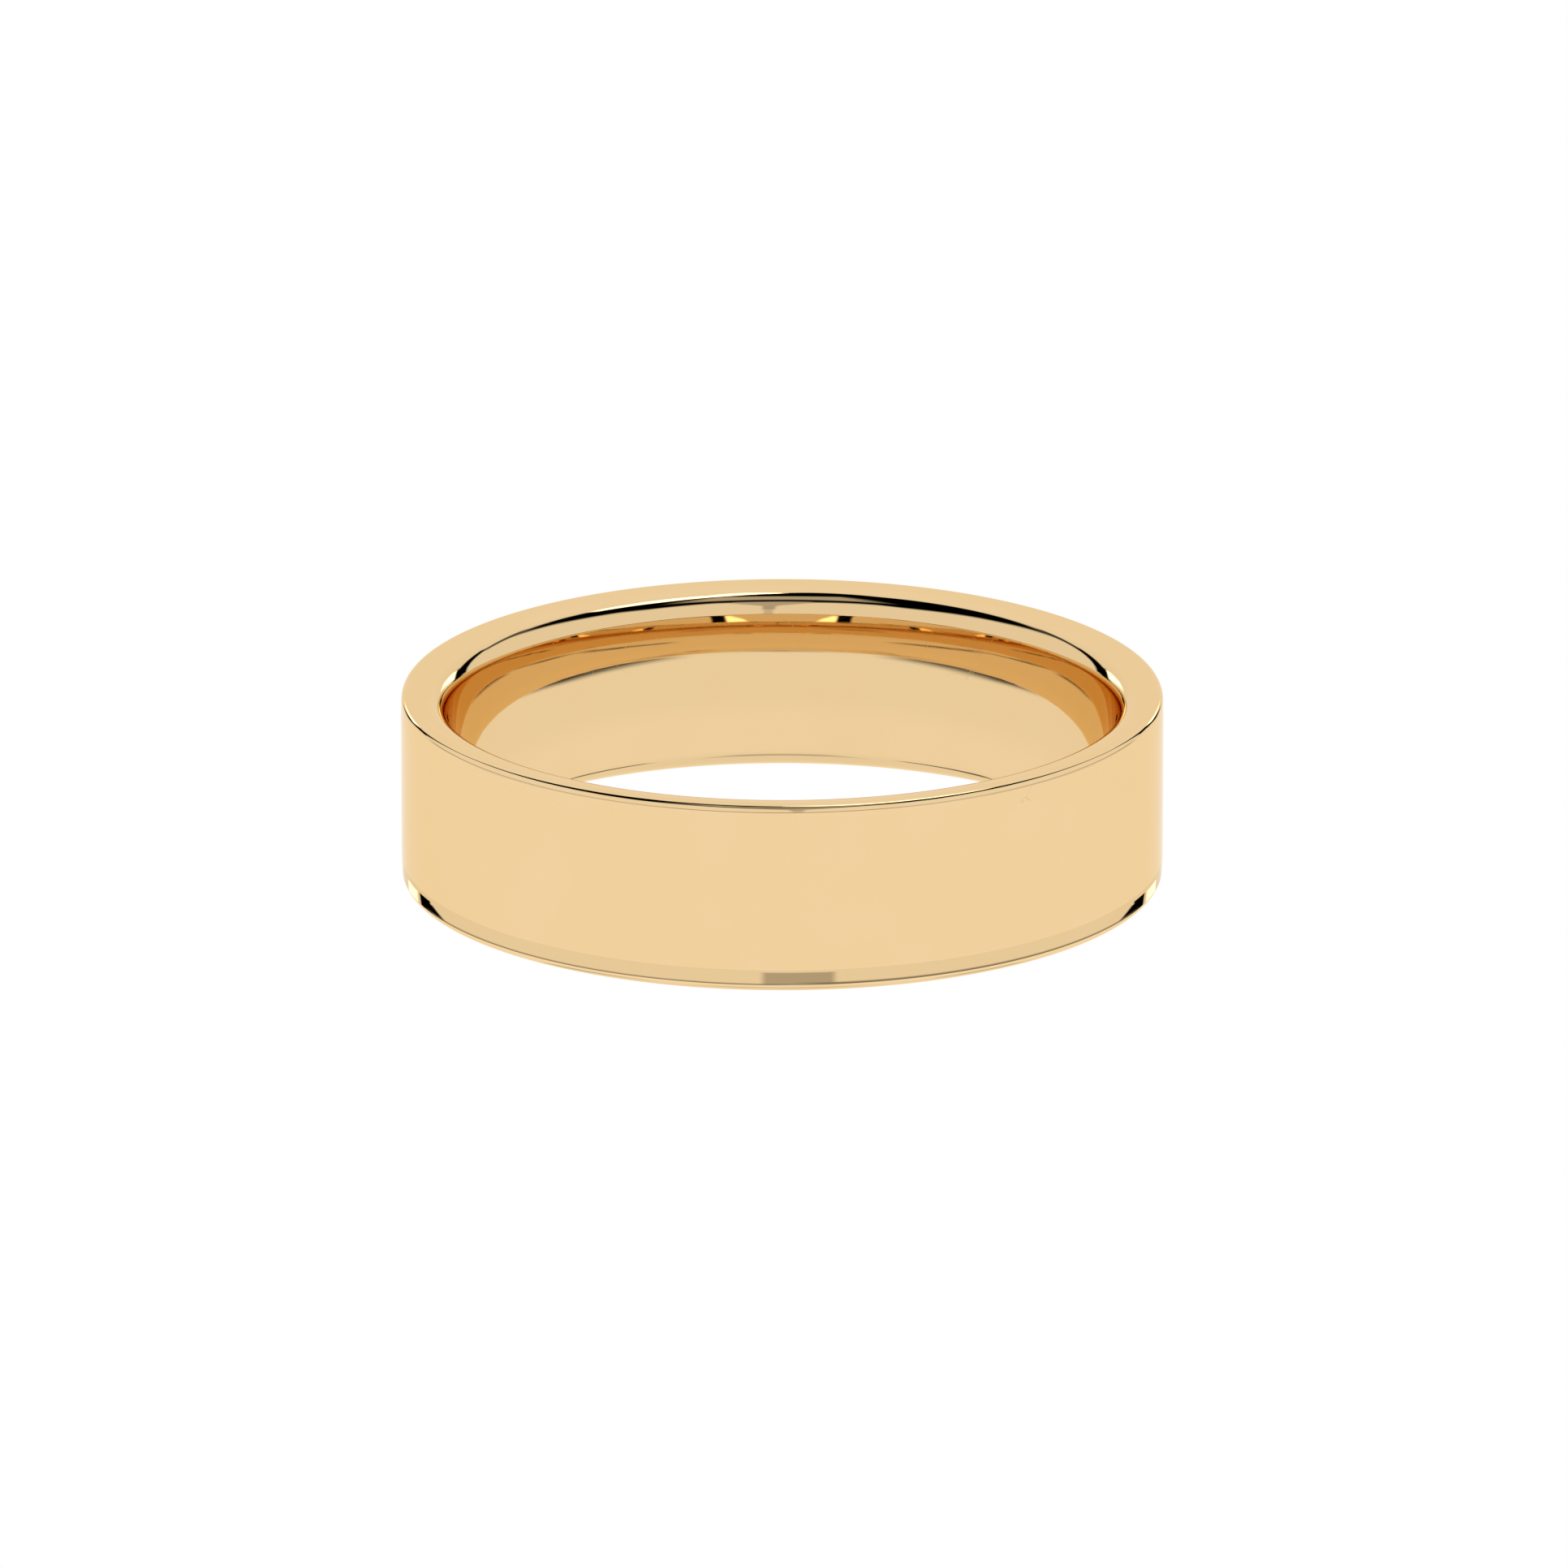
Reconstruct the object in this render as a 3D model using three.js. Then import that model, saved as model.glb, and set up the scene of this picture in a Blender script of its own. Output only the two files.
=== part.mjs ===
// Plain polished wedding band: flat outside with a barely eased shoulder at each
// edge, comfort-fit (softly domed) inside.
// One solid ring of yellow gold with no joints, stones or seams.
//
// Frame: millimetres, origin at the centre of the finger hole half way up the
// band's width, +Z along the finger axis.

import * as THREE from 'three';

// ---- driving dimensions ---------------------------------------------------
const FINGER_DIAMETER = 20.57; // US size 11, at the crest of the comfort-fit dome
const WALL = 1.6; // thickest, at the middle of the band's width
const BAND_WIDTH = 6.0; // along the finger

const SHOULDER_DROP = 0.02; // the outside falls this far inward next to each edge
const SHOULDER_WIDTH = 0.55; // over this much of the width
const BEVEL_RADIAL = 0.095; // outer edges, measured across the side face
const BEVEL_AXIAL = 0.18; // outer edges, measured down the outside
const LAND_WIDTH = 0.21; // flat ring of the side face that the band rests on
const SIDE_SLOPE_DEG = 6.1; // side face falls away from the land to the hole

const INNER_EDGE_RADIUS = 0.88; // soft rounding from side face into the bore
const DOME_RADIUS = 13.25; // comfort-fit curve, seen in the cross-section
const DOME_STRAIGHT = 0.54; // straight part at the middle of the bore

// ---- facet counts ---------------------------------------------------------
const AROUND = 96;
const EDGE_STEPS = 5;
const DOME_STEPS = 5;

// ---- derived --------------------------------------------------------------
const fingerRadius = FINGER_DIAMETER / 2;
const outerRadius = fingerRadius + WALL;
const halfWidth = BAND_WIDTH / 2;
const halfStraight = DOME_STRAIGHT / 2;
const shoulder = outerRadius - SHOULDER_DROP;
const landOuter = shoulder - BEVEL_RADIAL;
const landInner = landOuter - LAND_WIDTH;
const slope = THREE.MathUtils.degToRad(SIDE_SLOPE_DEG);

// Centre of the inner-edge rounding: it touches the sloped side face and sits
// inside the dome's circle, so that the bore has no crease. Both conditions
// together are a quadratic in the centre's radius.
function innerEdgeCentre() {
  const domeX = fingerRadius + DOME_RADIUS;
  const rise = Math.tan(slope);
  const reach = DOME_RADIUS - INNER_EDGE_RADIUS;
  const offset = halfWidth - landInner * rise - INNER_EDGE_RADIUS / Math.cos(slope) - halfStraight;
  const a = 1 + rise * rise;
  const b = 2 * (rise * offset - domeX);
  const c = domeX * domeX + offset * offset - reach * reach;
  const x = (-b - Math.sqrt(b * b - 4 * a * c)) / (2 * a);
  return { x, z: rise * x + offset + halfStraight, domeX };
}

// Points of an arc from one angle to the other, both ends included.
function arc(x, z, radius, from, to, steps) {
  return Array.from({ length: steps + 1 }, (_, i) => {
    const angle = from + ((to - from) * i) / steps;
    return [x + radius * Math.cos(angle), z + radius * Math.sin(angle)];
  });
}

// Upper half of the cross-section, from the middle of the bore, over the side
// face, to the outside. Angles are measured from +X (away from the finger).
function upperHalf() {
  const edge = innerEdgeCentre();
  const touch = Math.atan2(edge.z - halfStraight, edge.x - edge.domeX);
  return [
    ...arc(edge.domeX, halfStraight, DOME_RADIUS, Math.PI, touch, DOME_STEPS),
    ...arc(edge.x, edge.z, INNER_EDGE_RADIUS, touch, Math.PI / 2 + slope, EDGE_STEPS).slice(1),
    [landInner, halfWidth],
    [landOuter, halfWidth],
    [shoulder, halfWidth - BEVEL_AXIAL],
    [outerRadius, halfWidth - BEVEL_AXIAL - SHOULDER_WIDTH],
  ];
}

// The whole cross-section, symmetric about the middle plane and closed on
// itself, running anticlockwise so that the lathed faces point outward.
function crossSection() {
  const upper = upperHalf();
  const lower = upper.map(([x, z]) => [x, -z]);
  const loop = [...lower, ...upper.reverse()];
  return [...loop, loop[0]].map(([x, z]) => new THREE.Vector2(x, z));
}

// ---- the one physical piece -----------------------------------------------
const yellowGold = new THREE.MeshStandardMaterial({
  name: 'yellow_gold',
  color: new THREE.Color().setRGB(0.871, 0.631, 0.337),
  metalness: 1,
  roughness: 0.05,
});

const bandGeometry = new THREE.LatheGeometry(crossSection(), AROUND);
bandGeometry.rotateX(Math.PI / 2);

const band = new THREE.Mesh(bandGeometry, yellowGold);
band.name = 'band';

const weddingBand = new THREE.Group();
weddingBand.name = 'wedding_band';
weddingBand.add(band);

export default weddingBand;
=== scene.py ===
"""Plain comfort-fit wedding band in polished yellow gold: the visual model, its material and its studio."""

import math

import bmesh
import bpy
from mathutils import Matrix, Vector


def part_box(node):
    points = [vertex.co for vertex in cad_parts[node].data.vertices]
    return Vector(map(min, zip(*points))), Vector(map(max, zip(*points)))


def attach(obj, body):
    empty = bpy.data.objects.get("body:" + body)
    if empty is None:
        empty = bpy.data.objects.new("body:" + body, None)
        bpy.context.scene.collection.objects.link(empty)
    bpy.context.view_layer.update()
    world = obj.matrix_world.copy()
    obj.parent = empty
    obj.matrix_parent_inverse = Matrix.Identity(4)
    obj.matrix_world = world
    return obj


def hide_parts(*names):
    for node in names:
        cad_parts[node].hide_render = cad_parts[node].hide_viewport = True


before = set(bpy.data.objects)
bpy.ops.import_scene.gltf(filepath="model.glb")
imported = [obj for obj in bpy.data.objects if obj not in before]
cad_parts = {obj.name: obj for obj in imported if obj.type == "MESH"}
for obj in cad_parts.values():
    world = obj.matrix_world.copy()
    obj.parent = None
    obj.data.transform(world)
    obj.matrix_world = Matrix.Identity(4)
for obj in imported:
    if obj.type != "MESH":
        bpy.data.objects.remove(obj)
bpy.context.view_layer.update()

MM = 0.001

# ---- the band, in millimetres, as in the CAD ----
BAND_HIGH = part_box("band")[1]
OUTER_RADIUS = BAND_HIGH[0] / MM
HALF_WIDTH = BAND_HIGH[2] / MM
FINGER_RADIUS = 10.285
SHOULDER = (0.02, 0.55)  # shallow fall-off of the outside next to each edge: inward, along the finger
BEVEL = (0.095, 0.18)  # outer edge: across the side face, down the outside
LAND_WIDTH = 0.21
SIDE_SLOPE = math.radians(6.1)
INNER_EDGE_RADIUS = 0.88
DOME_RADIUS = 13.25
HALF_STRAIGHT = 0.27  # the bore is straight this far above and below its middle

# polishing rounds the cross-section's corners: radius and steps of each, from the side face outward
SOFTENED_CORNERS = [(1.2, 3), (0.235, 10), (0.25, 8), (2.0, 3)]

AROUND = 720
DOME_STEPS = 18
INNER_EDGE_STEPS = 22


def arc(centre, radius, start, stop, steps):
    """Points and outward normals along a convex arc of the cross-section, both ends included."""
    made = []
    for i in range(steps + 1):
        angle = start + (stop - start) * i / steps
        normal = (math.cos(angle), math.sin(angle))
        made.append((centre[0] + radius * normal[0], centre[1] + radius * normal[1], *normal))
    return made


def left_normal(direction):
    """The direction a quarter turn to the left."""
    return (-direction[1], direction[0])


def corner(before, at, after, radius, steps):
    """The rounding of one convex corner between two straight stretches."""
    a = (Vector(before) - Vector(at)).normalized()
    b = (Vector(after) - Vector(at)).normalized()
    middle = (a + b).normalized()
    centre = Vector(at) + middle * (radius / math.sin(a.angle(b) / 2))
    # the outline runs clockwise from the bore over the side face, so its outward normal is to the left
    start = math.atan2(*reversed(left_normal(-a)))
    stop = math.atan2(*reversed(left_normal(b)))
    return arc(centre, radius, start, stop, steps)


def inner_edge_centre(land_inner):
    """Centre of the rounding that touches the side face's slope and lies inside the dome's circle."""
    dome_x = FINGER_RADIUS + DOME_RADIUS
    rise = math.tan(SIDE_SLOPE)
    reach = DOME_RADIUS - INNER_EDGE_RADIUS
    offset = HALF_WIDTH - land_inner * rise - INNER_EDGE_RADIUS / math.cos(SIDE_SLOPE) - HALF_STRAIGHT
    a = 1 + rise * rise
    b = 2 * (rise * offset - dome_x)
    c = dome_x * dome_x + offset * offset - reach * reach
    x = (-b - math.sqrt(b * b - 4 * a * c)) / (2 * a)
    return x, rise * x + offset + HALF_STRAIGHT, dome_x


def upper_half():
    """Cross-section from the middle of the bore, over the side face, to the middle of the outside."""
    shoulder = OUTER_RADIUS - SHOULDER[0]
    land_outer = shoulder - BEVEL[0]
    land_inner = land_outer - LAND_WIDTH
    edge_x, edge_z, dome_x = inner_edge_centre(land_inner)
    touch = math.atan2(edge_z - HALF_STRAIGHT, edge_x - dome_x)
    outline = [
        (
            edge_x - INNER_EDGE_RADIUS * math.sin(SIDE_SLOPE),
            edge_z + INNER_EDGE_RADIUS * math.cos(SIDE_SLOPE),
        ),
        (land_inner, HALF_WIDTH),
        (land_outer, HALF_WIDTH),
        (shoulder, HALF_WIDTH - BEVEL[1]),
        (OUTER_RADIUS, HALF_WIDTH - BEVEL[1] - SHOULDER[1]),
        (OUTER_RADIUS, 0),
    ]
    side_face = math.pi / 2 + SIDE_SLOPE
    made = arc((dome_x, HALF_STRAIGHT), DOME_RADIUS, math.pi, touch, DOME_STEPS)
    made += arc((edge_x, edge_z), INNER_EDGE_RADIUS, touch, side_face, INNER_EDGE_STEPS)[1:]
    for i, (radius, steps) in enumerate(SOFTENED_CORNERS):
        made += corner(*outline[i : i + 3], radius, steps)
    return made


def build_band():
    """The whole ring as one lathed mesh with exact normals."""
    upper = upper_half()
    lower = [(x, -z, nx, -nz) for x, z, nx, nz in upper]
    loop = lower[::-1] + upper
    turns = [2 * math.pi * k / AROUND for k in range(AROUND)]
    bm = bmesh.new()
    rows = []
    for turn in turns:
        c, s = math.cos(turn), math.sin(turn)
        rows.append([bm.verts.new((x * c * MM, x * s * MM, z * MM)) for x, z, _, _ in loop])
    for k in range(AROUND):
        here, there = rows[k], rows[(k + 1) % AROUND]
        for i in range(len(loop)):
            j = (i + 1) % len(loop)
            bm.faces.new((here[i], here[j], there[j], there[i]))
    bmesh.ops.recalc_face_normals(bm, faces=bm.faces)
    mesh = bpy.data.meshes.new("gold_band")
    bm.to_mesh(mesh)
    bm.free()
    mesh.shade_smooth()
    normals = []
    for turn in turns:
        normals += [(nx * math.cos(turn), nx * math.sin(turn), nz) for _, _, nx, nz in loop]
    mesh.normals_split_custom_set_from_vertices(normals)
    band = bpy.data.objects.new("gold_band", mesh)
    bpy.context.scene.collection.objects.link(band)
    return band


band = build_band()
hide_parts("band")
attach(band, "root")


# ---- node helpers ----
class Nodes:
    """Builds one node tree by value: its methods take sockets or plain values and return a socket."""

    def __init__(self, tree):
        self.tree = tree

    def add(self, kind, inputs=(), output=0, **settings):
        node = self.tree.nodes.new(kind)
        for name, value in settings.items():
            setattr(node, name, value)
        for key, value in dict(inputs).items():
            self.feed(node.inputs[key], value)
        return node.outputs[output]

    def feed(self, socket, value):
        if isinstance(value, bpy.types.NodeSocket):
            self.tree.links.new(value, socket)
        else:
            socket.default_value = value

    def math(self, operation, *values):
        return self.add("ShaderNodeMath", dict(enumerate(values)), operation=operation)

    def dot(self, a, b):
        return self.add("ShaderNodeVectorMath", {0: a, 1: b}, "Value", operation="DOT_PRODUCT")

    def smooth(self, value, low, high, to_low=0.0, to_high=1.0):
        inputs = {"Value": value, "From Min": low, "From Max": high, "To Min": to_low, "To Max": to_high}
        return self.add("ShaderNodeMapRange", inputs, interpolation_type="SMOOTHSTEP")

    def mix(self, factor, a, b):
        return self.add("ShaderNodeMix", {"Factor": factor, "A": a, "B": b})

    def mix_colour(self, factor, a, b):
        # by number, because the node has an A, a B and a result for every type of data
        return self.add("ShaderNodeMix", {0: factor, 6: a, 7: b}, 2, data_type="RGBA")


# ---- material ----
GOLD = (0.871, 0.631, 0.337, 1)
GOLD_PALE = (0.885, 0.655, 0.368, 1)  # worn thin and burnished at the edges
GRAZING_TINT = (0.959, 0.865, 0.699, 1)  # keeps the gold from paling where it is seen edge on
# painted shade: inside the bore the gold colour is darkened to this fraction
BORE_PAINTED_SHADE = 0.94
BORE_EDGE = (10.6, 10.9)  # the painted shade fades out between these radii

LINES_ALONG_RADIUS = 0.8  # how densely the buffing lines cross the side faces
LINES_ALONG_FINGER = 1.1  # and how densely they cross the outside
LINE_DENSITY = 9.0
BUFFING = {"Scale": 1.6, "Detail": 4.0, "Roughness": 0.6}
HAZE = {"Scale": 0.35, "Detail": 3.0, "Roughness": 0.55}
SCRATCH_WARP = {"Scale": 0.8, "Detail": 2.0}
SCRATCH_CELLS = {"Scale": 0.55}
SCRATCHED_AREAS = {"Scale": 0.9, "Detail": 2.0}
SCRATCH_WIDTH = 0.008
SCRATCHED_FROM = (0.5, 0.62)  # areas come in between these levels of their noise

WORN_SIDE = (0.45, 0.08)  # wear fades in between these depths below the side face
WORN_OUTSIDE = (0.3, 0.08)  # and between these depths inside the outside
WORN_HAZE = (0.35, 0.7)  # and it comes and goes round the band with the haze

PALE_HAZE = (0.3, 0.7, 0.0, 0.35)  # from and to this much haze, from and to this much pale gold
HAZE_ROUGHNESS = (0.35, 0.75, 0.012, 0.034)  # the same, to roughness
BUFFING_ROUGHNESS = (0.45, 0.75, 0.0, 0.014)
SCRATCH_ROUGHNESS = 0.1
WEAR_ROUGHNESS = 0.02
SCRATCH_DEPTH = 0.3  # against the buffing lines
RELIEF_STRENGTH = 0.35
RELIEF_DEPTH = 0.0004 * MM


def gold_material(name):
    """Mirror-polished gold: buffing lines round the band, hairline scratches, faint haze, edge wear, and a
    bore painted darker as shade.
    """
    material = bpy.data.materials.new(name)
    material.use_nodes = True
    shader = material.node_tree.nodes["Principled BSDF"]
    nodes = Nodes(material.node_tree)
    place = nodes.add("ShaderNodeTexCoord", output="Object")
    place = nodes.add("ShaderNodeVectorMath", {0: place, "Scale": 1 / MM}, operation="SCALE")
    x, y, z = (nodes.add("ShaderNodeSeparateXYZ", {0: place}, i) for i in range(3))
    squares = nodes.math("ADD", nodes.math("POWER", x, 2.0), nodes.math("POWER", y, 2.0))
    radius = nodes.math("SQRT", squares)
    turn = nodes.math("ARCTAN2", y, x)

    # buffing lines: long round the band, fine across it; sine and cosine leave no seam at the half turn
    lap = nodes.add("ShaderNodeCombineXYZ", {"X": nodes.math("SINE", turn), "Y": nodes.math("COSINE", turn)})
    outward = nodes.math("MULTIPLY", radius, LINES_ALONG_RADIUS)
    across = nodes.math("ADD", outward, nodes.math("MULTIPLY", z, LINES_ALONG_FINGER))
    strand = nodes.add("ShaderNodeCombineXYZ", {"Z": nodes.math("MULTIPLY", across, LINE_DENSITY)})
    strand = nodes.add("ShaderNodeVectorMath", {0: strand, 1: lap}, operation="ADD")
    buffing = nodes.add("ShaderNodeTexNoise", {"Vector": strand, **BUFFING})

    haze = nodes.add("ShaderNodeTexNoise", {"Vector": place, **HAZE})

    # hairline scratches: the warped edges of large cells, in some areas only
    warp = nodes.add("ShaderNodeTexNoise", {"Vector": place, **SCRATCH_WARP}, "Color")
    bent = nodes.add("ShaderNodeVectorMath", {0: place, 1: warp}, operation="ADD")
    cells = nodes.add("ShaderNodeTexVoronoi", {"Vector": bent, **SCRATCH_CELLS}, feature="DISTANCE_TO_EDGE")
    areas = nodes.add("ShaderNodeTexNoise", {"Vector": place, **SCRATCHED_AREAS})
    scratch = nodes.smooth(cells, 0.0, SCRATCH_WIDTH, 1.0, 0.0)
    scratch = nodes.math("MULTIPLY", scratch, nodes.smooth(areas, *SCRATCHED_FROM))

    # wear gathers on the outer edges
    rim = nodes.smooth(nodes.math("ABSOLUTE", z), *(HALF_WIDTH - depth for depth in WORN_SIDE))
    outer = nodes.smooth(radius, *(OUTER_RADIUS - depth for depth in WORN_OUTSIDE))
    wear = nodes.math("MULTIPLY", nodes.math("MULTIPLY", rim, outer), nodes.smooth(haze, *WORN_HAZE))

    colour = nodes.mix_colour(nodes.smooth(haze, *PALE_HAZE), GOLD, GOLD_PALE)
    colour = nodes.mix_colour(wear, colour, GOLD_PALE)
    roughness = nodes.smooth(haze, *HAZE_ROUGHNESS)
    roughness = nodes.math("ADD", roughness, nodes.smooth(buffing, *BUFFING_ROUGHNESS))
    roughness = nodes.math("ADD", roughness, nodes.math("MULTIPLY", scratch, SCRATCH_ROUGHNESS))
    roughness = nodes.math("ADD", roughness, nodes.math("MULTIPLY", wear, WEAR_ROUGHNESS))
    relief = nodes.math("SUBTRACT", buffing, nodes.math("MULTIPLY", scratch, SCRATCH_DEPTH))
    bump = {"Height": relief, "Strength": RELIEF_STRENGTH, "Distance": RELIEF_DEPTH}

    # painted shade: the bore's gold colour is made a little darker than the rest, standing in for the shade
    # inside the ring
    painted_bore_shade = nodes.smooth(radius, *BORE_EDGE, BORE_PAINTED_SHADE, 1.0)
    colour = nodes.add("ShaderNodeVectorMath", {0: colour, "Scale": painted_bore_shade}, operation="SCALE")

    nodes.feed(shader.inputs["Base Color"], colour)
    nodes.feed(shader.inputs["Roughness"], roughness)
    nodes.feed(shader.inputs["Normal"], nodes.add("ShaderNodeBump", bump))
    shader.inputs["Metallic"].default_value = 1
    shader.inputs["Specular Tint"].default_value = GRAZING_TINT
    return material


band.data.materials.append(gold_material("polished_yellow_gold"))


# ---- staging: what surrounds the band and shows in it ----
NO_EDGE = 100.0  # deeper inside than any outline reaches


def patch(nodes, place, beneath, value, softness, corners, reach=NO_EDGE):
    """Lays one convex patch over what is beneath it; reach is how deep inside its outline a place lies."""
    for a, b in zip(corners, corners[1:] + corners[:1]):
        along = Vector(b) - Vector(a)
        inward = Vector(left_normal(along.normalized()))
        inward /= math.hypot(inward[0] * softness[0], inward[1] * softness[1])
        across = nodes.dot(place, (inward[0], inward[1], 0.0))
        reach = nodes.math("MINIMUM", reach, nodes.math("SUBTRACT", across, inward.dot(Vector(a))))
    # the fade takes one softness, half of it inside the outline
    return nodes.mix(nodes.smooth(reach, -0.5, 0.5), beneath, value)


def glowing_material(name):
    """A surface that only shines, so that nothing in the scene lights or shades it."""
    material = bpy.data.materials.new(name)
    material.use_nodes = True
    shader = material.node_tree.nodes["Principled BSDF"]
    shader.inputs["Base Color"].default_value = (0, 0, 0, 1)
    shader.inputs["Specular IOR Level"].default_value = 0
    shader.inputs["Emission Color"].default_value = (1, 1, 1, 1)
    shader.inputs["Emission Strength"].default_value = 1
    return material, shader


# ---- floor: plain white to the camera, left out of the gold's reflections ----
FLOOR_HALF = 3000.0


def build_floor():
    mesh = bpy.data.meshes.new("floor")
    bm = bmesh.new()
    corners = [(-1, -1), (1, -1), (1, 1), (-1, 1)]
    half = FLOOR_HALF * MM
    bm.faces.new([bm.verts.new((x * half, y * half, -HALF_WIDTH * MM)) for x, y in corners])
    bm.to_mesh(mesh)
    bm.free()
    floor = bpy.data.objects.new("floor", mesh)
    bpy.context.scene.collection.objects.link(floor)
    floor.visible_glossy = False
    material, shader = glowing_material("pale_floor")
    shader.inputs["Roughness"].default_value = 1
    mesh.materials.append(material)


build_floor()

# ---- studio: what the polished gold mirrors, laid out by direction from the band ----
# Directions are in degrees: azimuth from the camera's side of the band (0) to the camera's right (+90),
# and elevation. Each panel is a convex patch with corners in those two, its brightness against the pale
# walls, and how softly it fades sideways and upward. Later panels cover earlier ones.
WALLS = 0.955
UNDER = 0.97  # straight below
TABLE = 1.035  # the pale table around the band
TABLE_FAR = 1.0
UNDER_TO_TABLE = (-75.0, -40.0)  # elevations over which one turns into the next
TABLE_TO_FAR = (-26.0, -18.0)
FAR_TO_WALLS = (-12.0, -8.0)

HOOD_EDGE = [  # lower edge of the dark overhead hood: azimuth, elevation
    (-180, 30), (-130, 33), (-119, 37), (-110, 40.5), (-99, 42.5), (-88, 45), (-77, 46.3),
    (-60, 46.8), (-52, 47.3), (-42, 50.5), (-34, 51), (-22, 50.5), (-7, 48.5), (8, 48.5),
    (20, 50), (30, 50.7), (42, 48.7), (56, 46.3), (72, 46.8), (87, 44.3), (102, 42),
    (110, 39.5), (117, 37), (128, 33), (180, 30),
]


def mirrored(corners):
    """The same outline on the other side, still anticlockwise."""
    return [(-side, height) for side, height in reversed(corners)]


HORIZON = [(42, -11.6), (80, -13.8), (100, -14.3), (100, -13.3), (42, -10.6)]
DARK_LINE = [(35, -7), (128, -7), (128, 3.5), (35, 0.5)]

PANELS = [
    # name, brightness, softness, corners
    ("hood", 0.0, (8, 7), [
        (-124.5, 10), (128, 10), (127, 28), (122.5, 41), (117, 51), (109, 60.5), (98, 73), (87, 84),
        (74, 95), (-108, 95), (-113.5, 84), (-117, 72), (-120.5, 60), (-123, 48), (-124.5, 36)]),
    ("hood_zenith", 0.0, (8, 4), [
        (-158, 86), (-140, 81), (-118, 75), (-60, 72), (34, 78), (34, 95), (-165, 95)]),
    ("hood_middle", 0.5, (24, 6), [(-50, 61), (54, 61), (54, 75.5), (-50, 75.5)]),
    ("softbox", 2.9, (7, 3), [
        (102.5, 57.5), (112.5, 57.5), (106, 73), (98, 84), (57, 84), (60, 79.7), (75, 69.3)]),
    ("softbox_top", 2.7, (9, 3), [
        (57, 83.5), (61, 79.5), (112, 79), (130, 81), (150, 83.3), (178, 88), (184, 95), (50, 95)]),
    ("left_strip_top", 0.05, (3, 5), [(-132.5, 26), (-128, 26), (-118, 43), (-127, 43)]),
    ("left_strip", 0.0, (2.5, 3), [(-141, 12), (-132, 12), (-127, 29), (-132.5, 29)]),
    ("left_strip_middle", 0.0, (2.5, 3), [(-142.5, 4), (-133, 4), (-131.5, 14.5), (-141.5, 14.5)]),
    ("left_strip_low", 0.0, (3, 3), [(-158, -7), (-148, -7), (-133, 6), (-141.5, 6)]),
    ("right_strip_top", 0.1, (3, 5), [(126.5, 26), (131, 26), (125, 42), (116, 42)]),
    ("right_strip", 0.0, (2.5, 3), [(133, 12), (142, 12), (133, 28), (128, 28)]),
    ("right_strip_middle", 0.0, (2.5, 3), [(134, 4), (143.5, 4), (142.5, 14.5), (132.5, 14.5)]),
    ("right_strip_low", 0.0, (3, 3), [(148, -7), (158, -7), (143, 6), (134.5, 6)]),
    ("left_glow", 3.0, (3, 3), [(-157, 5), (-143.5, 5), (-142, 13), (-145, 13), (-153, 9)]),
    ("right_glow", 3.0, (3, 3), [(144.5, 5), (157, 5), (153, 9), (146, 13), (143, 13)]),
    ("stem_low", 0.68, (1.6, 4), [(3.1, -4), (6.3, -4), (6.3, 30), (3.1, 30)]),
    ("stem_high", 0.5, (2, 5), [(2.6, 20), (6.8, 20), (7.6, 46), (1.8, 46)]),
    ("stem_flare", 0.52, (6, 5), [(3, 34), (6.5, 34), (20, 47), (20, 52), (-12, 52), (-12, 47)]),
    ("horizon", 0.1, (12, 1.2), [
        (-45, -11.4), (-30, -11.2), (30, -11.2), (45, -11.4), (45, -9.9), (-45, -9.9)]),
    ("left_horizon", 0.0, (26, 1.3), mirrored(HORIZON)),
    ("right_horizon", 0.0, (26, 1.3), HORIZON),
    ("dark_line", 0.35, (8, 2), [(-40, -7), (40, -7), (40, 0.5), (-40, 0.5)]),
    ("left_dark_line", 0.6, (8, 2), mirrored(DARK_LINE)),
    ("right_dark_line", 0.6, (8, 2), DARK_LINE),
    ("left_shade", 0.1, (10, 2.5), [
        (-130, -53.5), (-110, -59), (-85, -62.5), (-70, -65), (-70, -62), (-110, -54)]),
    ("right_shade", 0.1, (10, 2.5), [
        (78, -63.5), (95, -60.5), (128, -52), (110, -53), (78, -60.5)]),
    ("front_shade", 0.55, (20, 8), [
        (-50, -71), (-25, -74), (25, -74), (50, -71), (25, -66), (-25, -66)]),
]


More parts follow.
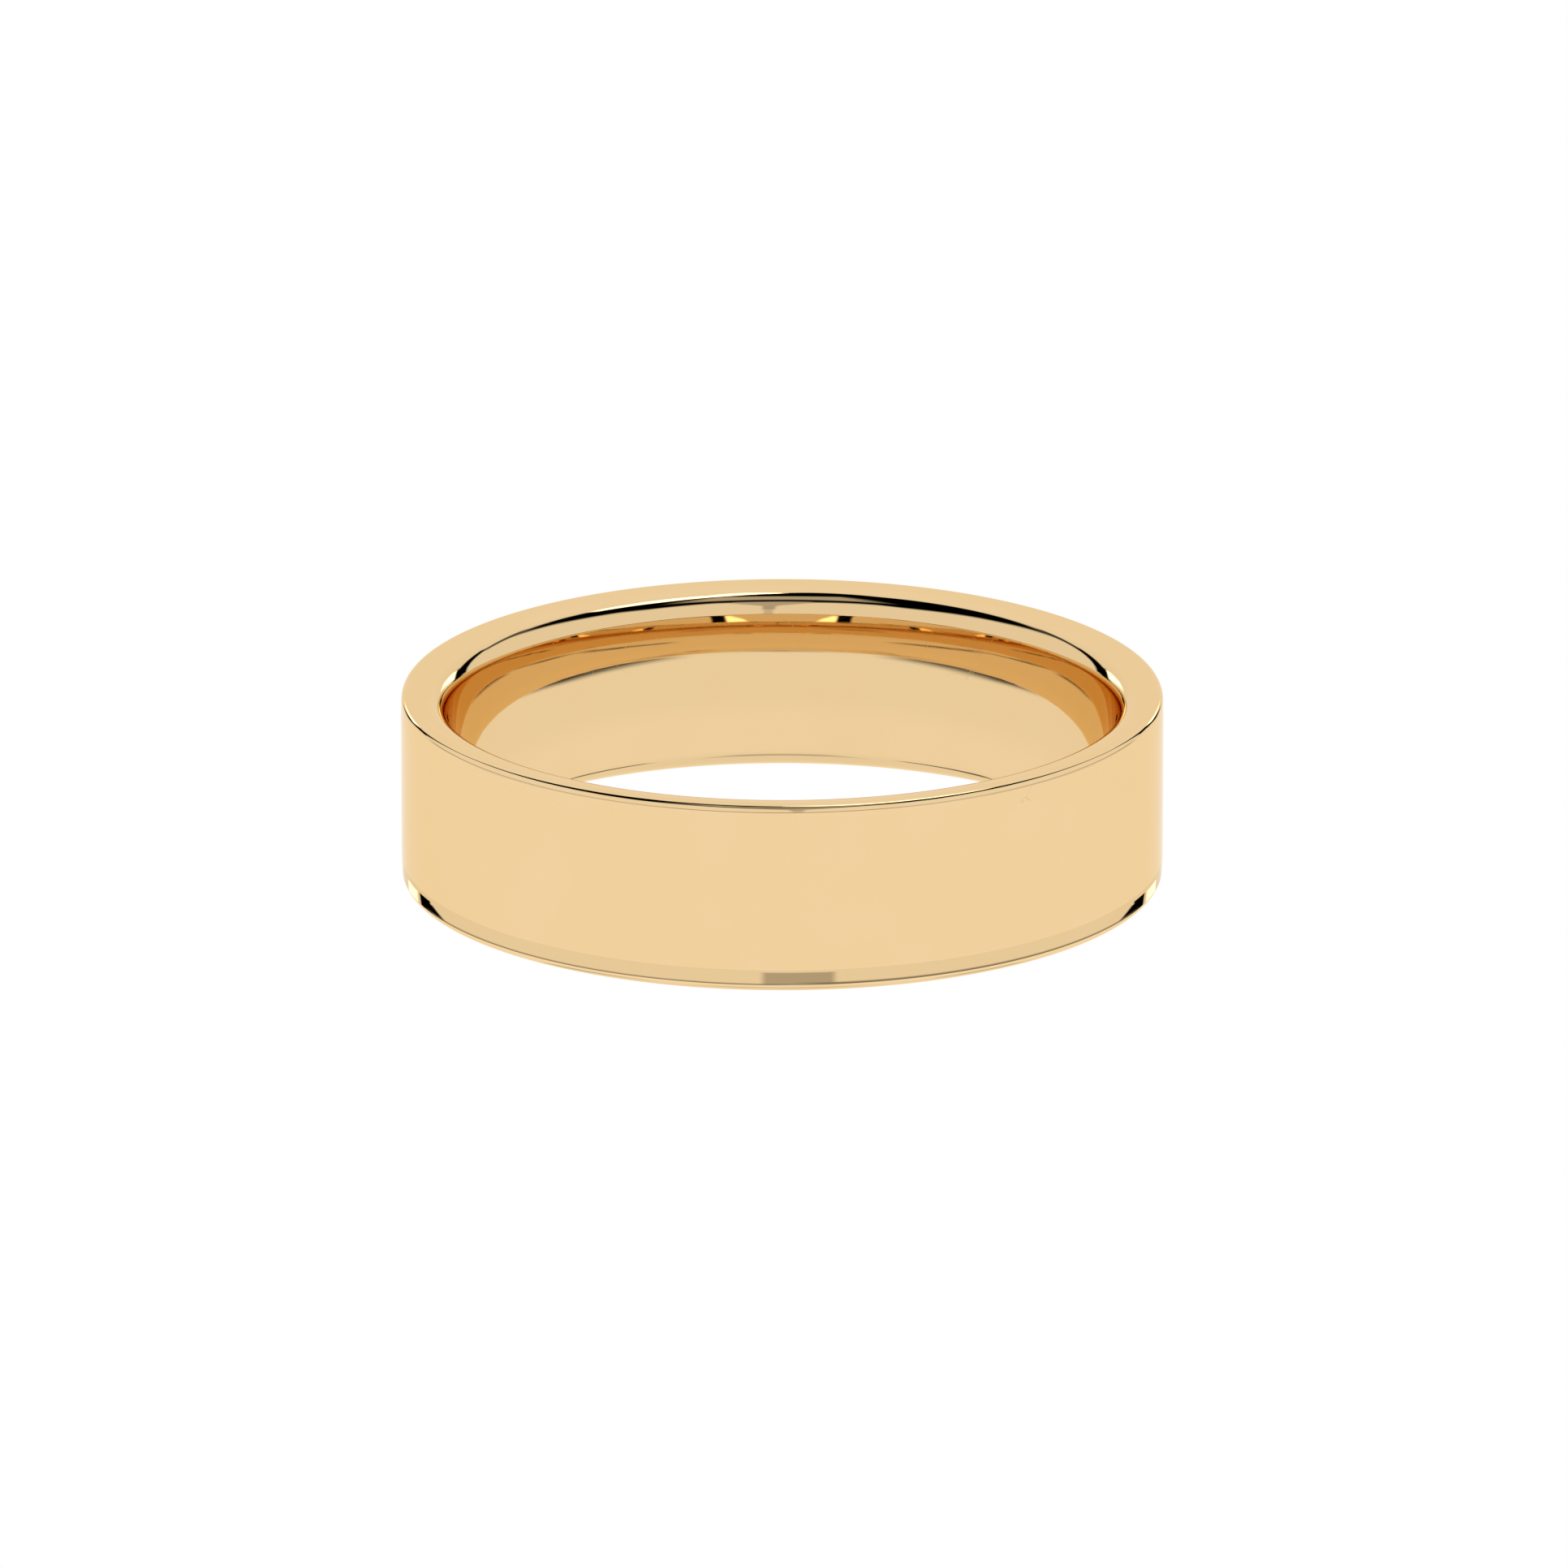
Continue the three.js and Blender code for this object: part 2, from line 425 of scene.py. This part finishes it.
def studio_brightness(nodes):
    """The whole studio as one brightness that depends only on direction."""
    direction = nodes.add("ShaderNodeTexCoord", output="Generated")
    x, y, z = (nodes.add("ShaderNodeSeparateXYZ", {0: direction}, i) for i in range(3))
    around = nodes.math("DEGREES", nodes.math("ARCTAN2", x, nodes.math("MULTIPLY", y, -1.0)))
    height = nodes.math("DEGREES", nodes.math("ARCSINE", z))
    place = nodes.add("ShaderNodeCombineXYZ", {"X": around, "Y": height})

    # the hood's lower edge, as a ramp over the whole turn that holds the elevation in quarter turns
    ramp = nodes.tree.nodes.new("ShaderNodeValToRGB")
    nodes.feed(ramp.inputs[0], nodes.math("MULTIPLY_ADD", around, 1 / 360, 0.5))
    stops = ramp.color_ramp.elements
    for i, (azimuth, elevation) in enumerate(HOOD_EDGE):
        stop = stops[i] if i < len(stops) else stops.new(1)
        stop.position = (azimuth + 180) / 360
        stop.color = (elevation / 90, elevation / 90, elevation / 90, 1)
    above_edge = nodes.math("SUBTRACT", height, nodes.math("MULTIPLY", ramp.outputs[0], 90.0))

    brightness = nodes.smooth(height, *UNDER_TO_TABLE, UNDER, TABLE)
    brightness = nodes.mix(nodes.smooth(height, *TABLE_TO_FAR), brightness, TABLE_FAR)
    brightness = nodes.mix(nodes.smooth(height, *FAR_TO_WALLS), brightness, WALLS)
    for name, value, softness, corners in PANELS:
        reach = nodes.math("DIVIDE", above_edge, softness[1]) if name == "hood" else NO_EDGE
        brightness = patch(nodes, place, brightness, value, softness, corners, reach)
    return brightness


world = bpy.data.worlds.new("studio")
bpy.context.scene.world = world
world.use_nodes = True
nodes = Nodes(world.node_tree)
seen_directly = nodes.add("ShaderNodeLightPath", output="Is Camera Ray")
brightness = nodes.mix(seen_directly, studio_brightness(nodes), 1.0)
background = world.node_tree.nodes["Background"]
nodes.feed(background.inputs["Color"], brightness)
background.inputs["Strength"].default_value = 1.0

# ---- cards that lie before the band, mirrored only by the shoulder at its foot ----
# They are laid out by where on that shoulder they show: degrees round the band from the side toward the
# camera, and how far down the shoulder (0 to 1). The floor point is found by mirroring the line of sight.
CARD_WHITE = [(73.0, 0.36), (78.5, 0.36), (77.5, 2), (71.8, 2)]
CARD_BLACK = [(67.0, 0.3), (71.7, 0.3), (69.9, 2), (65.3, 2)]
CARD_STREAK = [(66, 0.45), (69.5, 0.45), (69.5, 1.1), (59.5, 1.1)]

CARD_PANELS = [
    # name, brightness, softness, corners
    ("left_white", 2.0, (1, 0.05), mirrored(CARD_WHITE)),
    ("right_white", 2.0, (1, 0.05), CARD_WHITE),
    ("left_black", 0.0, (1, 0.05), mirrored(CARD_BLACK)),
    ("left_streak", 0.0, (1.5, 0.1), mirrored(CARD_STREAK)),
    ("right_black", 0.0, (1, 0.05), CARD_BLACK),
    ("right_streak", 0.0, (1.5, 0.1), CARD_STREAK),
    ("grey", 0.5, (1.4, 0.05), [(-2.9, 0.2), (7.8, 0.2), (7.8, 2), (-2.9, 2)]),
    ("left_shadow", 0.25, (8, 0.12), [(-66, 0.86), (0, 0.86), (0, 2), (-66, 2)]),
    ("right_shadow", 0.25, (8, 0.12), [(4, 0.8), (66, 0.86), (66, 2), (4, 2)]),
]
CARDS_GREY = 0.917
CARDS_LIFT = 0.01  # above the floor
CARD_SIDES = range(-84, 85)
CARD_ROWS = 6  # down the shoulder


def floor_point(side, down, sight):
    """Where the line of sight meets the floor after the foot's shoulder mirrors it."""
    tilt = math.atan2(SHOULDER[0], SHOULDER[1])
    turn = math.radians(side)
    normal = Vector((math.sin(turn) * math.cos(tilt), -math.cos(turn) * math.cos(tilt), -math.sin(tilt)))
    ray = 2 * normal.dot(sight) * normal - sight
    height = BEVEL[1] + SHOULDER[1] * (1 - down) - CARDS_LIFT
    radius = OUTER_RADIUS - SHOULDER[0] * down
    start = Vector((math.sin(turn) * radius, -math.cos(turn) * radius, 0))
    return start + ray * (height / -ray.z)


def build_cards(sight):
    """A thin apron before the band, with its place on the shoulder kept as texture coordinates."""
    mesh = bpy.data.meshes.new("cards")
    bm = bmesh.new()
    uv = bm.loops.layers.uv.new("shoulder")
    downs = [i / CARD_ROWS for i in range(CARD_ROWS + 1)]
    rows = []
    for side in CARD_SIDES:
        points = [floor_point(side, down, sight) for down in downs]
        rows.append([bm.verts.new((p.x * MM, p.y * MM, (CARDS_LIFT - HALF_WIDTH) * MM)) for p in points])
    for k in range(len(rows) - 1):
        for i in range(CARD_ROWS):
            spots = [(k, i), (k, i + 1), (k + 1, i + 1), (k + 1, i)]
            face = bm.faces.new([rows[a][b] for a, b in spots])
            for loop, (a, b) in zip(face.loops, spots):
                loop[uv].uv = (CARD_SIDES[a], downs[b])
    bm.to_mesh(mesh)
    bm.free()
    cards = bpy.data.objects.new("cards", mesh)
    bpy.context.scene.collection.objects.link(cards)
    for kind in ("camera", "diffuse", "transmission", "shadow", "volume_scatter"):
        setattr(cards, f"visible_{kind}", False)
    material, shader = glowing_material("cards")
    nodes = Nodes(material.node_tree)
    place = nodes.add("ShaderNodeUVMap", uv_map="shoulder")
    brightness = CARDS_GREY
    for _, value, softness, corners in CARD_PANELS:
        brightness = patch(nodes, place, brightness, value, softness, corners)
    nodes.feed(shader.inputs["Emission Color"], brightness)
    mesh.materials.append(material)


CAMERA_ELEVATION = math.radians(17.75)
TO_CAMERA = Vector((0, -math.cos(CAMERA_ELEVATION), math.sin(CAMERA_ELEVATION)))
build_cards(TO_CAMERA)

BOUNCES = 10  # the bore mirrors itself many times over near its edges

scene = bpy.context.scene
scene.view_settings.view_transform = "Standard"
world.cycles.sampling_method = "NONE"  # the gold samples the studio by its own reflections
scene.cycles.max_bounces = BOUNCES
scene.cycles.glossy_bounces = BOUNCES

# ---- camera ----
CAMERA_DISTANCE = 638.3 * MM
FRAME_WIDTH = 48.91 * MM  # what the picture spans at the band's centre
LOOK_RIGHT = 0.057 * MM
LOOK_DOWN = 0.0826 * MM

camera_data = bpy.data.cameras.new("camera")
camera_data.lens = camera_data.sensor_width * CAMERA_DISTANCE / FRAME_WIDTH
camera = bpy.data.objects.new("camera", camera_data)
scene.collection.objects.link(camera)
scene.camera = camera
up = Vector((0, math.sin(CAMERA_ELEVATION), math.cos(CAMERA_ELEVATION)))
aim = Vector((LOOK_RIGHT, 0, 0)) - up * LOOK_DOWN
camera.location = aim + TO_CAMERA * CAMERA_DISTANCE
camera.rotation_euler = (math.pi / 2 - CAMERA_ELEVATION, 0, 0)
